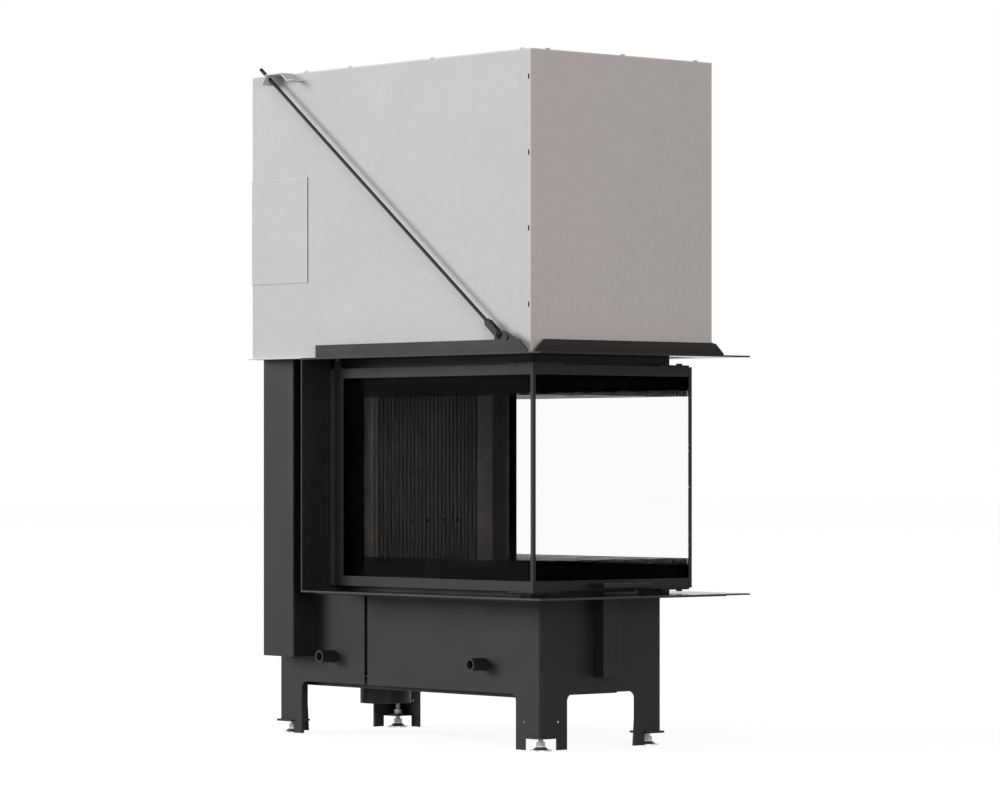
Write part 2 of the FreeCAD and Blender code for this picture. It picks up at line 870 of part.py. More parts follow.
def side_tabs(grow):
    tabs = []
    for back in side_tab_backs:
        y = casing_front + back
        tabs.append(box(-casing_half - grow, -casing_half + casing_sheet + grow, y - tab_length / 2 - grow,
                        y + tab_length / 2 + grow, panel_top - grow, casing_top + tab_rise))
    return tabs


def front_tabs(grow):
    tabs = []
    for step in (-1, 0, 1):
        x = step * front_tab_step
        tabs.append(box(x - tab_length / 2 - grow, x + tab_length / 2 + grow, casing_front - grow,
                        casing_front + casing_sheet + grow, panel_top - grow, casing_top + tab_rise))
    return tabs


def hatch_span():
    rear = casing_rear
    bottom = upper_top + hatch_bottom
    return rear - hatch_length, rear, bottom, bottom + hatch_height


def casing_left_panel():
    panel = box(-casing_half, -casing_half + casing_sheet, casing_front, casing_rear, floor_top, panel_top)
    panel = fuse([panel] + side_tabs(0))
    cuts = []
    slot_y = casing_front + edge_slot_inset
    for level in edge_slot_levels:
        z = upper_top + level
        cuts.append(box(-casing_half - overrun, -casing_half + overrun, slot_y, slot_y + edge_slot_width,
                        z - edge_slot_height / 2, z + edge_slot_height / 2))
    y0, y1, z0, z1 = hatch_span()
    margin = hatch_hole_margin
    cuts.append(box(-casing_half - overrun, -casing_half + overrun, y0 + margin, y1 - margin, z0 + margin,
                    z1 - margin))
    return panel.cut(cuts)


def casing_front_panel():
    half = casing_half - casing_sheet
    panel = box(-half, half, casing_front, casing_front + casing_sheet, floor_top, panel_top)
    return fuse([panel] + front_tabs(0))


def casing_rear_panel():
    half = casing_half - casing_sheet
    return box(-half, half, casing_rear - casing_sheet, casing_rear, floor_top, panel_top)


def casing_top_panel():
    panel = box(-casing_half, casing_half, casing_front, casing_rear, panel_top, casing_top)
    hole = rod(0, flue_y, panel_top - overrun, Z_AXIS, flue_radius + flue_hole_gap,
               casing_sheet + 2 * overrun)
    left = side_tabs(fit_gap)
    return panel.cut(left + [mirror(t) for t in left] + front_tabs(fit_gap) + [hole])


def hatch_covers():
    y0, y1, z0, z1 = hatch_span()
    return both(box(-casing_half - hatch_thickness, -casing_half, y0, y1, z0, z1))


def rod_direction():
    angle = math.radians(rod_rise_angle)
    return Vector(0, math.cos(angle), math.sin(angle))


def along_rod(shape):
    shape.Placement = FreeCAD.Placement(Vector(-stiffener_half, pin_y, pin_z),
                                        FreeCAD.Rotation(X_AXIS, rod_rise_angle))
    return shape


def tie_rods():
    bar = along_rod(rod(0, rod_start, 0, Y_AXIS, rod_radius, rod_length))
    return both(bar)


def tie_rod_clevises():
    half = clevis_width / 2
    body = box(-half, half, -clevis_end_reach, clevis_length, -half, half)
    gap = collar_plate / 2 + clevis_slot_gap
    slot = box(-gap, gap, -clevis_end_reach - overrun, clevis_length - clevis_socket, -half - overrun,
               half + overrun)
    socket = rod(0, rod_start, 0, Y_AXIS, rod_radius, clevis_length)
    eye = rod(-half - overrun, 0, 0, X_AXIS, pin_radius, clevis_width + 2 * overrun)
    return both(along_rod(body.cut([slot, socket, eye])))


def rod_nut(start):
    nut = hexagon(0, start, 0, Y_AXIS, bracket_nut_flats, bracket_nut_height)
    hole = rod(0, start - overrun, 0, Y_AXIS, rod_radius, bracket_nut_height + 2 * overrun)
    return nut.cut(hole)


def lug_pin(width, y, z):
    start = -stiffener_half - width / 2
    shank = rod(start, y, z, X_AXIS, pin_radius, width)
    heads = [rod(x, y, z, X_AXIS, pin_head_radius, pin_head_height)
             for x in (start - pin_head_height, start + width)]
    return fuse([shank] + heads)


def tie_rod_fasteners():
    pins = [lug_pin(clevis_width, pin_y, pin_z),
            lug_pin(collar_plate, pin_y - lug_second_step, pin_z - lug_second_drop)]
    nuts = [along_rod(rod_nut(start)) for start in (clevis_length, bracket_run + bracket_sheet)]
    return [piece for part in pins + nuts for piece in both(part)]


def tie_rod_brackets():
    run = rod_direction()
    seat = Vector(0, pin_y, pin_z) + run * bracket_run
    up = Vector(0, -run.z, run.y)
    top = seat + up * (bracket_tab / 3)
    low = seat - up * (2 * bracket_tab / 3)
    flat_end = Vector(0, top.y - bracket_flat, top.z)
    foot = Vector(0, flat_end.y - bracket_step * run.y, flat_end.z - bracket_step * run.z)
    tail = Vector(0, foot.y - bracket_foot, foot.z)
    path = [low, top, flat_end, foot, tail]
    lines = [(p.y, p.z) for p in path]
    offset = []
    for i, point in enumerate(path):
        before = path[max(i - 1, 0)]
        after = path[min(i + 1, len(path) - 1)]
        normals = []
        for start, stop in ((before, point), (point, after)):
            if (stop - start).Length > 0:
                step = (stop - start).normalize()
                normals.append(Vector(0, step.z, -step.y))
        lean = sum(normals[1:], normals[0]).normalize()
        grow = bracket_sheet / lean.dot(normals[0])
        offset.append(((point + lean * grow).y, (point + lean * grow).z))
    strip = plate_x(lines + offset[::-1], {}, -stiffener_half - bracket_edge, -casing_half)
    through = Part.makeCylinder(rod_radius + fit_gap, 2 * bracket_tab,
                                Vector(-stiffener_half, seat.y, seat.z) - run * bracket_tab, run)
    return both(strip.cut(through))


def frame_ring(y0, y1):
    inner_y0 = y0 + side_front_stile
    inner_y1 = y1 - side_rear_stile
    face = box(-door_half, -door_half + frame_face, y0, y1, door_bottom, door_top)
    window = box(-door_half - overrun, -door_half + frame_face + overrun, inner_y0, inner_y1,
                 door_bottom + bar_height, door_top - bar_height)
    return face.cut(window)


def door_side_frames():
    y0 = door_front + frame_face
    face = frame_ring(y0, door_rear)
    start = y0 + frame_return + corner_clear
    x_in = -door_half + frame_face + frame_return
    top = box(-door_half, x_in, start, door_rear, door_top - frame_face, door_top)
    bottom = box(-door_half, x_in, start, door_rear, door_bottom, door_bottom + frame_face)
    rear = box(-door_half, x_in, door_rear - frame_face, door_rear, door_bottom, door_top)
    return both(fuse([face, top, bottom, rear]))


def door_front_frame():
    face = box(-door_half, door_half, door_front, door_front + frame_face, door_bottom, door_top)
    window = box(-door_half + front_stile, door_half - front_stile, door_front - overrun,
                 door_front + frame_face + overrun, door_bottom + bar_height, door_top - bar_height)
    half = door_half - frame_face - corner_clear
    deep = door_front + frame_face + frame_return
    top = box(-half, half, door_front, deep, door_top - frame_face, door_top)
    bottom = box(-half, half, door_front, deep, door_bottom, door_bottom + frame_face)
    return fuse([face.cut(window), top, bottom])


def glass_levels():
    return door_bottom + glass_edge, door_top - glass_edge


def front_glass():
    low, high = glass_levels()
    half = door_half - frame_face - fit_gap
    start = door_front + frame_face + fit_gap
    return box(-half, half, start, start + glass_thickness, low, high)


def side_glass():
    low, high = glass_levels()
    x = -door_half + frame_face + fit_gap
    start = door_front + frame_face + glass_thickness + 2 * fit_gap
    return both(box(x, x + glass_thickness, start, door_rear - frame_face - glass_edge, low, high))


def corner_plate(bottom):
    x0 = -door_half + frame_face + corner_clear
    y0 = door_front + corner_plate_inset
    along_front = box(x0, x0 + corner_plate_length, y0, y0 + corner_plate_width, bottom,
                      bottom + corner_plate_thickness)
    along_side = box(x0, x0 + corner_plate_width, y0, y0 + corner_plate_length, bottom,
                     bottom + corner_plate_thickness)
    plate = fuse([along_front, along_side])
    holes = [rod(x, y, bottom - overrun, Z_AXIS, bolt_radius, 2 * overrun) for x, y in bolt_places()]
    return plate.cut(holes)


def bolt_places():
    x0 = -door_half + frame_face + corner_clear
    y0 = door_front + corner_plate_inset
    middle = corner_plate_width / 2
    run = [bolt_inset + step * bolt_spacing for step in (0, 1)]
    return [(x0 + r, y0 + middle) for r in run] + [(x0 + middle, y0 + run[1] + middle)]


def door_corner_plates():
    return both(corner_plate(door_top)) + both(corner_plate(door_bottom - corner_plate_thickness))


def door_bolts():
    bolts = []
    for x, y in bolt_places():
        for seat, up in ((door_top, 1), (door_bottom, -1)):
            base = seat + up * corner_plate_thickness
            axis = Z_AXIS * up
            head = hexagon(x, y, base, axis, bolt_head_flats, bolt_head_height)
            shank = rod(x, y, seat, axis, bolt_radius, corner_plate_thickness)
            bolts += both(fuse([head, shank]))
    return bolts


def door_handle():
    low = door_bottom + handle_rise
    half = handle_length / 2
    outer = door_front - handle_standoff - handle_bar_depth
    bar = box(-half, half, outer, outer + handle_bar_depth, low, low + handle_bar_height)
    long_edges = [e for e in bar.Edges if e.BoundBox.XLength > handle_bar_depth + handle_bar_height]
    bar = bar.makeFillet(handle_round, long_edges)
    post = box(-half, -half + handle_post_width, outer + handle_bar_depth / 2, door_front, low,
               low + handle_bar_height)
    return fuse([bar, post, mirror(post)])


def lift_uprights():
    half = upright_size / 2
    post = box(-upright_x - half, -upright_x + half, door_rear, door_rear + upright_size, door_bottom,
               door_top)
    hollow = box(-upright_x - half + upright_wall, -upright_x + half - upright_wall, door_rear + upright_wall,
                 door_rear + upright_size - upright_wall, door_bottom - overrun, door_top - upright_wall)
    hook = box(-cable_x - hook_size / 2, -cable_x + hook_size / 2, door_cable_y - hook_size / 2,
               door_cable_y + hook_size / 2, door_top, door_top + hook_height)
    return both(fuse([post.cut(hollow), hook]))


def guide_shoes():
    shoes = []
    head_half = rail_width / 2 - rail_wall - slide_gap
    head_front = rail_front + rail_wall + slide_gap
    for bottom in (door_bottom + shoe_end_inset, door_top - shoe_end_inset - shoe_height):
        head = box(-upright_x - head_half, -upright_x + head_half, head_front, head_front + shoe_head_depth,
                   bottom, bottom + shoe_height)
        neck = box(-upright_x - shoe_neck_width / 2, -upright_x + shoe_neck_width / 2,
                   door_rear + upright_size, head_front, bottom, bottom + shoe_height)
        shoes += both(fuse([head, neck]))
    return shoes


def air_damper():
    bottom = base_height - housing_height
    shaft = rod(0, damper_y, bottom, Z_AXIS, damper_shaft_radius,
                housing_height + collar_plate + lever_lift + lever_thickness)
    low = bottom + vane_rise
    vane = box(-vane_width / 2, vane_width / 2, damper_y - vane_thickness / 2, damper_y + vane_thickness / 2,
               low, low + vane_height)
    return fuse([shaft, vane])


def air_lever():
    bottom = lower_top + lever_lift
    arm = box(-lever_width / 2, lever_width / 2, -lever_reach, lever_width / 2, 0, lever_thickness)
    knob = rod(0, -lever_reach, 0, Z_AXIS, knob_radius, knob_height)
    rim = [e for e in knob.Edges if e.BoundBox.ZMin > lever_thickness]
    eye = rod(0, 0, -overrun, Z_AXIS, damper_shaft_radius, lever_thickness + 2 * overrun)
    lever = fuse([arm, knob.makeChamfer(knob_chamfer, rim)]).cut(eye)
    lever.Placement = FreeCAD.Placement(Vector(0, damper_y, bottom), FreeCAD.Rotation(Z_AXIS, lever_angle))
    return lever


def export(name, shape):
    if isinstance(shape, list):
        shape = Part.makeCompound(shape)
    shape.exportStep("parts/" + name + ".step")


os.makedirs("parts", exist_ok=True)
pieces = [
    base_front_shell, base_rear_shell, base_tray, air_inlet_spigot, carrying_tubes, air_control_housing,
    foot_plates, foot_nuts, lower_collar_plate, upper_collar_plate, rear_collars, upper_stiffeners,
    hearth_tray, hearth_slab, fire_grate, firebox_back_wall, back_lining_ribbed, back_lining_strips,
    lining_cheeks, hood_rim, baffle, smoke_hood, flue_pipe, counterweight_ducts, rear_shield,
    guide_rails, lift_side_plates, shaft_bearings, lift_shaft, pulleys, door_cables, pulley_cables,
    counterweight_cables, counterweights, casing_floor, casing_left_panel, casing_front_panel,
    casing_rear_panel, casing_top_panel, hatch_covers, tie_rods, tie_rod_clevises, tie_rod_brackets,
    tie_rod_fasteners, door_front_frame, door_side_frames, front_glass, side_glass, door_corner_plates,
    door_bolts, door_handle, lift_uprights, guide_shoes, air_lever, air_damper,
]
for piece in pieces:
    export(piece.__name__, piece())
export("casing_right_panel", mirror(casing_left_panel()))
for corner, (foot_x, foot_y) in foot_centres().items():
    export("levelling_foot_" + corner, levelling_foot(foot_x, foot_y))
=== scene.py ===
import json
import math
import bmesh
import bpy
from mathutils import Matrix, Vector

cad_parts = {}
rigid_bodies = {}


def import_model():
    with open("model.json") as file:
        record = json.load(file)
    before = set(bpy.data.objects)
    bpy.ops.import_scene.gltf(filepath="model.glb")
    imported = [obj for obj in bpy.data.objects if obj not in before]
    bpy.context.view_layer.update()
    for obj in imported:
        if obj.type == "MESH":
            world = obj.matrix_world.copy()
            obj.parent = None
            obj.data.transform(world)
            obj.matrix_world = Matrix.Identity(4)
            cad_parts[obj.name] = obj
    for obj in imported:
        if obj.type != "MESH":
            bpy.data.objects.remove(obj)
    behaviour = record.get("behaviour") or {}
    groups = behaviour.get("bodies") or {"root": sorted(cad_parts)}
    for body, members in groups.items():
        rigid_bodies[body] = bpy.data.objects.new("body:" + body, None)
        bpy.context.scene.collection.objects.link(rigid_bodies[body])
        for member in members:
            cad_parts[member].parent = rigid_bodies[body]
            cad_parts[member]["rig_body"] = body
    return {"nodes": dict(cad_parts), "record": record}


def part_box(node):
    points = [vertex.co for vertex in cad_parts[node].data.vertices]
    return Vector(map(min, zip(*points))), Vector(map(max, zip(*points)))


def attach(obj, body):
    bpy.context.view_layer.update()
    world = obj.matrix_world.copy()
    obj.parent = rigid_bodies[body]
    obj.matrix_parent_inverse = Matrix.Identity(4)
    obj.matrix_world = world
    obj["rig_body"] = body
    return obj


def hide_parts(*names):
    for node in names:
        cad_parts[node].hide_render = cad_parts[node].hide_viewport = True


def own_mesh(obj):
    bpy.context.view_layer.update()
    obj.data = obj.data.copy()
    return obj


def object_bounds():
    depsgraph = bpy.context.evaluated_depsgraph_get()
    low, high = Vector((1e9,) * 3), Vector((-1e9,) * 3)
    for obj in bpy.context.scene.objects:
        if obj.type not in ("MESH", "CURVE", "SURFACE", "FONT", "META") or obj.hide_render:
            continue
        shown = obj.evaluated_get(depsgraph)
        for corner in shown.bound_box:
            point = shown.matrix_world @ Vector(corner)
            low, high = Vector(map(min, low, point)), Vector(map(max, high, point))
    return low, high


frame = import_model()
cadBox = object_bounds()
print("frame loaded:", len(frame["nodes"]), "nodes")


# ordinary 0-255 screen tones to the linear values that shaders take
def tone(red, green, blue):
    def linear(value):
        share = value / 255
        return share / 12.92 if share <= 0.04045 else ((share + 0.055) / 1.055) ** 2.4
    return (linear(red), linear(green), linear(blue), 1.0)


def addNode(tree, kind, sockets=None, **properties):
    made = tree.nodes.new(kind)
    for name, value in properties.items():
        setattr(made, name, value)
    for key, value in (sockets or {}).items():
        made.inputs[key].default_value = value
    return made


def link(tree, source, target):
    tree.links.new(source, target)


# one sum in a tree; a value is a number or another node's output
def calc(tree, operation, first, second):
    made = addNode(tree, "ShaderNodeMath", operation=operation)
    for index, value in enumerate((first, second)):
        if isinstance(value, (int, float)):
            made.inputs[index].default_value = value
        else:
            link(tree, value, made.inputs[index])
    return made.outputs["Value"]


# what all finishes share: how busy each noise is, and the part of its range that counts
patterns = {
    "mottleDetail": 5.0, "mottleRoughness": 0.62, "mottleFrom": 0.30, "mottleTo": 0.70,
    "grainDetail": 3.0, "grainRoughness": 0.55,
    "smudgeDetail": 4.0, "smudgeFrom": 0.25, "smudgeTo": 0.75,
    "edgeHighlightFrom": 0.99, "edgeHighlightTo": 0.75, "edgeHighlightSamples": 4,
}


# every finish starts from the same bones: a mottled colour, an uneven sheen and a fine relief
def baseFinish(name, look):
    material = bpy.data.materials.new(name)
    material.use_nodes = True
    tree = material.node_tree
    shader = tree.nodes["Principled BSDF"]
    shader.inputs["Metallic"].default_value = look["metallic"]
    shader.inputs["Specular IOR Level"].default_value = look["specular"]
    place = addNode(tree, "ShaderNodeTexCoord")
    stretch = addNode(tree, "ShaderNodeMapping", {"Scale": look.get("stretch", (1.0, 1.0, 1.0))})
    link(tree, place.outputs["Object"], stretch.inputs["Vector"])

    clouds = addNode(tree, "ShaderNodeTexNoise", {
        "Scale": look["mottleScale"], "Detail": patterns["mottleDetail"],
        "Roughness": patterns["mottleRoughness"]})
    link(tree, place.outputs["Object"], clouds.inputs["Vector"])
    ramp = addNode(tree, "ShaderNodeValToRGB")
    ramp.color_ramp.elements[0].position = patterns["mottleFrom"]
    ramp.color_ramp.elements[1].position = patterns["mottleTo"]
    ramp.color_ramp.elements[0].color = look["dark"]
    ramp.color_ramp.elements[1].color = look["light"]
    link(tree, clouds.outputs["Fac"], ramp.inputs["Fac"])

    smudge = addNode(tree, "ShaderNodeTexNoise", {
        "Scale": look["smudgeScale"], "Detail": patterns["smudgeDetail"]})
    link(tree, stretch.outputs["Vector"], smudge.inputs["Vector"])
    sheen = addNode(tree, "ShaderNodeMapRange", {
        "From Min": patterns["smudgeFrom"], "From Max": patterns["smudgeTo"],
        "To Min": look["roughLow"], "To Max": look["roughHigh"]})
    link(tree, smudge.outputs["Fac"], sheen.inputs["Value"])
    link(tree, sheen.outputs["Result"], shader.inputs["Roughness"])

    grain = addNode(tree, "ShaderNodeTexNoise", {
        "Scale": look["grainScale"], "Detail": patterns["grainDetail"],
        "Roughness": patterns["grainRoughness"]})
    link(tree, stretch.outputs["Vector"], grain.inputs["Vector"])
    relief = addNode(tree, "ShaderNodeBump", {
        "Strength": look["reliefStrength"], "Distance": look["reliefDepth"]})
    link(tree, grain.outputs["Fac"], relief.inputs["Height"])
    link(tree, relief.outputs["Normal"], shader.inputs["Normal"])
    colour = ramp.outputs["Color"]

    # edges are painted lighter, partly wear from handling and partly a painted highlight for the light they
    # catch: the rounded normal differs from the face's own only near an edge
    if "edgeHighlightAndWear" in look:
        rounded = addNode(tree, "ShaderNodeBevel", {"Radius": look["edgeHighlightWidth"]})
        rounded.samples = patterns["edgeHighlightSamples"]
        face = addNode(tree, "ShaderNodeNewGeometry")
        match = addNode(tree, "ShaderNodeVectorMath", operation="DOT_PRODUCT")
        link(tree, rounded.outputs["Normal"], match.inputs[0])
        link(tree, face.outputs["Normal"], match.inputs[1])
        edge = addNode(tree, "ShaderNodeMapRange", {
            "From Min": patterns["edgeHighlightFrom"], "From Max": patterns["edgeHighlightTo"],
            "To Min": 0.0, "To Max": look["edgeHighlightAmount"]})
        link(tree, match.outputs["Value"], edge.inputs["Value"])
        blend = addNode(tree, "ShaderNodeMix", data_type="RGBA")
        link(tree, edge.outputs["Result"], blend.inputs["Factor"])
        link(tree, colour, blend.inputs["A"])
        blend.inputs["B"].default_value = look["edgeHighlightAndWear"]
        colour = blend.outputs["Result"]
    link(tree, colour, shader.inputs["Base Color"])
    return material, tree, shader, {"place": place, "relief": relief, "colour": colour}


def makePlainFinish(name, look):
    return baseFinish(name, look)[0]


# a cell pattern laid over the colour: zinc flowers on sheet, pebbles on castings and lining
def makeCellFinish(name, look):
    material, tree, shader, parts = baseFinish(name, look)
    cells = addNode(tree, "ShaderNodeTexVoronoi", {"Scale": look["cellScale"]})
    link(tree, parts["place"].outputs["Object"], cells.inputs["Vector"])
    shade = addNode(tree, "ShaderNodeSeparateColor")
    link(tree, cells.outputs["Color"], shade.inputs["Color"])
    level = addNode(tree, "ShaderNodeMapRange", {"To Min": look["cellDark"], "To Max": 1.0})
    link(tree, shade.outputs["Red"], level.inputs["Value"])
    mix = addNode(tree, "ShaderNodeMix", {"Factor": 1.0}, data_type="RGBA", blend_type="MULTIPLY")
    link(tree, parts["colour"], mix.inputs["A"])
    link(tree, level.outputs["Result"], mix.inputs["B"])
    link(tree, mix.outputs["Result"], shader.inputs["Base Color"])
    return material


sheetLook = {
    "dark": tone(195, 195, 195), "light": tone(198, 198, 198), "mottleScale": 3.2,
    "metallic": 0.05, "specular": 0.1, "smudgeScale": 7.0, "roughLow": 0.60, "roughHigh": 0.68,
    "grainScale": 620.0, "reliefStrength": 0.16, "reliefDepth": 0.0004,
    # painted highlight and wear: a paler tone along the sheet's edges
    "edgeHighlightAndWear": tone(238, 237, 236), "edgeHighlightWidth": 0.003, "edgeHighlightAmount": 0.8,
    "cellScale": 85.0, "cellDark": 0.965,
}
blackLook = {
    "dark": tone(29, 28, 28), "light": tone(35, 34, 34), "mottleScale": 4.5,
    "metallic": 0.0, "specular": 0.19, "smudgeScale": 9.0, "roughLow": 0.42, "roughHigh": 0.54,
    "grainScale": 1400.0, "reliefStrength": 0.28, "reliefDepth": 0.0003,
    # painted highlight and wear: a paler tone along the black parts' edges
    "edgeHighlightAndWear": tone(92, 90, 88), "edgeHighlightWidth": 0.0012, "edgeHighlightAmount": 0.55,
}
collarLook = dict(blackLook, roughLow=0.11, roughHigh=0.18, reliefStrength=0.05)
# a lighter black; on the lower collar plate's edge faces it is a painted highlight, and the lift's uprights
# take it too
cutEdgeLook = dict(blackLook, dark=tone(56, 55, 54), light=tone(66, 65, 64))
zincLook = {
    "dark": tone(204, 205, 206), "light": tone(230, 230, 229), "mottleScale": 60.0,
    "metallic": 0.88, "specular": 0.5, "smudgeScale": 120.0, "roughLow": 0.42, "roughHigh": 0.56,
    "grainScale": 900.0, "reliefStrength": 0.18, "reliefDepth": 0.0002,
}
brushedLook = {
    "dark": tone(128, 127, 125), "light": tone(168, 167, 164), "mottleScale": 22.0,
    "metallic": 0.95, "specular": 0.5, "smudgeScale": 90.0, "roughLow": 0.26, "roughHigh": 0.44,
    "grainScale": 1500.0, "reliefStrength": 0.25, "reliefDepth": 0.0002, "stretch": (0.06, 1.0, 1.0),
}
bronzeLook = {
    "dark": tone(72, 60, 46), "light": tone(96, 80, 60), "mottleScale": 40.0,
    "metallic": 0.9, "specular": 0.5, "smudgeScale": 70.0, "roughLow": 0.32, "roughHigh": 0.5,
    "grainScale": 1100.0, "reliefStrength": 0.22, "reliefDepth": 0.0003,
}
castLook = {
    "dark": tone(34, 33, 32), "light": tone(50, 48, 47), "mottleScale": 26.0,
    "metallic": 0.1, "specular": 0.3, "smudgeScale": 40.0, "roughLow": 0.58, "roughHigh": 0.8,
    "grainScale": 420.0, "reliefStrength": 0.5, "reliefDepth": 0.0006,
    "cellScale": 380.0, "cellDark": 0.82,
}
liningLook = {
    "dark": tone(43, 44, 45), "light": tone(54, 55, 56), "mottleScale": 12.0,
    "metallic": 0.0, "specular": 0.1, "smudgeScale": 30.0, "roughLow": 0.72, "roughHigh": 0.92,
    "grainScale": 520.0, "reliefStrength": 0.25, "reliefDepth": 0.0005,
    "cellScale": 240.0, "cellDark": 0.86,
}
# painted light: a paler copy of the lining for the grooves' sides, which lie in shade
grooveLook = dict(liningLook, dark=tone(54, 55, 56), light=tone(62, 63, 64))
stripLook = dict(liningLook, dark=tone(70, 70, 69), light=tone(80, 80, 79))
cheekLook = dict(liningLook, dark=tone(41, 41, 40), light=tone(53, 52, 52))
# painted light: a paler copy of the cheek lining for the cheeks' outer faces
cheekPaintedLightLook = dict(liningLook, dark=tone(80, 79, 78), light=tone(92, 91, 89))
printLook = {
    "dark": tone(0, 0, 0), "light": tone(3, 3, 3), "mottleScale": 40.0,
    "metallic": 0.0, "specular": 0.0, "smudgeScale": 18.0, "roughLow": 0.42, "roughHigh": 0.6,
    "grainScale": 2200.0, "reliefStrength": 0.1, "reliefDepth": 0.0001,
}
sidePrintLook = dict(printLook, dark=tone(13, 13, 13), light=tone(16, 16, 16))

# levelling feet: a stud with a rolled thread, on a darker cone that slopes down to the disc
studLook = dict(zincLook, pitch=0.00175, threadDepth=0.0006, threadStrength=0.9, discHeight=0.012)
coneLook = dict(zincLook, dark=tone(98, 98, 99), light=tone(114, 114, 115), steepest=0.1, flattest=0.95)
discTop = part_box("levelling_foot_front_left")[0].z + studLook["discHeight"]
wavePeriod = math.pi / 10  # of Blender's wave texture at a scale of 1


# the thread's rings go by height, and only above the foot's disc
def makeStudFinish():
    material, tree, shader, parts = baseFinish("zinc_stud", studLook)
    rings = addNode(tree, "ShaderNodeTexWave", {"Scale": wavePeriod / studLook["pitch"]}, bands_direction="Z")
    link(tree, parts["place"].outputs["Object"], rings.inputs["Vector"])
    split = addNode(tree, "ShaderNodeSeparateXYZ")
    link(tree, parts["place"].outputs["Object"], split.inputs["Vector"])
    above = calc(tree, "GREATER_THAN", split.outputs["Z"], discTop)
    height = calc(tree, "MULTIPLY", rings.outputs["Fac"], above)
    thread = addNode(tree, "ShaderNodeBump", {
        "Strength": studLook["threadStrength"], "Distance": studLook["threadDepth"]})
    link(tree, height, thread.inputs["Height"])
    link(tree, parts["relief"].outputs["Normal"], thread.inputs["Normal"])
    link(tree, thread.outputs["Normal"], shader.inputs["Normal"])
    return material


glassLook = {
    "tint": (0.985, 0.985, 0.98, 1.0), "ior": 1.03, "roughLow": 0.0, "roughHigh": 0.002,
    "smearScale": 14.0, "smearDetail": 4.0, "smearFrom": 0.5, "smearTo": 0.8,
    "waveScale": 3.0, "waveDetail": 1.0, "waveStrength": 0.05, "waveDepth": 0.000002,
}


def makeGlassFinish():
    material = bpy.data.materials.new("ceramic_glass")
    material.use_nodes = True
    tree = material.node_tree
    shader = tree.nodes["Principled BSDF"]
    shader.inputs["Base Color"].default_value = glassLook["tint"]
    shader.inputs["Transmission Weight"].default_value = 1.0
    shader.inputs["IOR"].default_value = glassLook["ior"]
    place = addNode(tree, "ShaderNodeTexCoord")
    smear = addNode(tree, "ShaderNodeTexNoise", {
        "Scale": glassLook["smearScale"], "Detail": glassLook["smearDetail"]})
    link(tree, place.outputs["Object"], smear.inputs["Vector"])
    haze = addNode(tree, "ShaderNodeMapRange", {
        "From Min": glassLook["smearFrom"], "From Max": glassLook["smearTo"],
        "To Min": glassLook["roughLow"], "To Max": glassLook["roughHigh"]})
    link(tree, smear.outputs["Fac"], haze.inputs["Value"])
    link(tree, haze.outputs["Result"], shader.inputs["Roughness"])
    rolling = addNode(tree, "ShaderNodeTexNoise", {
        "Scale": glassLook["waveScale"], "Detail": glassLook["waveDetail"]})
    link(tree, place.outputs["Object"], rolling.inputs["Vector"])
    wave = addNode(tree, "ShaderNodeBump", {
        "Strength": glassLook["waveStrength"], "Distance": glassLook["waveDepth"]})
    link(tree, rolling.outputs["Fac"], wave.inputs["Height"])
    link(tree, wave.outputs["Normal"], shader.inputs["Normal"])
    return material


finishes = {
    "sheet": makeCellFinish("galvanised_sheet", sheetLook),
    "black": makePlainFinish("stove_black", blackLook),
    "collar": makePlainFinish("collar_black", collarLook),
    "cutEdge": makePlainFinish("cut_edge", cutEdgeLook),
    "zinc": makePlainFinish("bright_zinc", zincLook),
    "stud": makeStudFinish(),
    "cone": makePlainFinish("foot_cone", coneLook),
    "brushed": makePlainFinish("turned_steel", brushedLook),
    "bronze": makePlainFinish("sliding_bronze", bronzeLook),
    "cast": makeCellFinish("cast_iron", castLook),
    "lining": makeCellFinish("pressed_lining", liningLook),
    "groove": makeCellFinish("groove_sides_painted_light", grooveLook),
    "strip": makeCellFinish("smooth_lining", stripLook),
    "cheek": makeCellFinish("cheek_lining", cheekLook),
    "cheekPaintedLight": makeCellFinish("cheek_painted_light", cheekPaintedLightLook),
    "glass": makeGlassFinish(),
    "print": makePlainFinish("pane_print", printLook),
    "sidePrint": makePlainFinish("side_print", sidePrintLook),
}
slotFinish = {
    "casing_sheet": "sheet", "black_steel": "black", "zinc_steel": "zinc", "bare_steel": "brushed",
    "bronze": "bronze", "cast_iron": "cast", "lining": "lining", "glass": "glass",
}


def coatNode(node, finish):
    mesh = frame["nodes"][node].data
    mesh.materials.clear()
    mesh.materials.append(finishes[finish])


# a second finish on the faces that a test picks
def paintFaces(mesh, finish, picks):
    mesh.materials.append(finishes[finish])
    for face in mesh.polygons:
        if picks(face.center, face.normal):
            face.material_index = len(mesh.materials) - 1


turnedShare = 0.5  # of a face's normal along an axis, past which the face counts as turned that way
# the band of the corner slots in the casing's side panels, whose walls are painted black as painted shade
slotBand = {"inset": 0.0015, "depth": 0.0085, "foot": 0.93, "head": 1.6}
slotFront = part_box("casing_left_panel")[0].y + slotBand["inset"]


def turnedX(centre, normal):
    return abs(normal.x) > turnedShare


def turnedZ(centre, normal):
    return abs(normal.z) > turnedShare


def notTurnedX(centre, normal):
    return not turnedX(centre, normal)


def notTurnedZ(centre, normal):
    return not turnedZ(centre, normal)


def onOuterSide(centre, normal):
    return centre.x * normal.x > 0


def inCone(centre, normal):
    return coneLook["steepest"] < normal.z < coneLook["flattest"] and centre.z < discTop


def inSlot(centre, normal):
    along = 0 < centre.y - slotFront < slotBand["depth"]
    return along and notTurnedX(centre, normal) and slotBand["foot"] < centre.z < slotBand["head"]


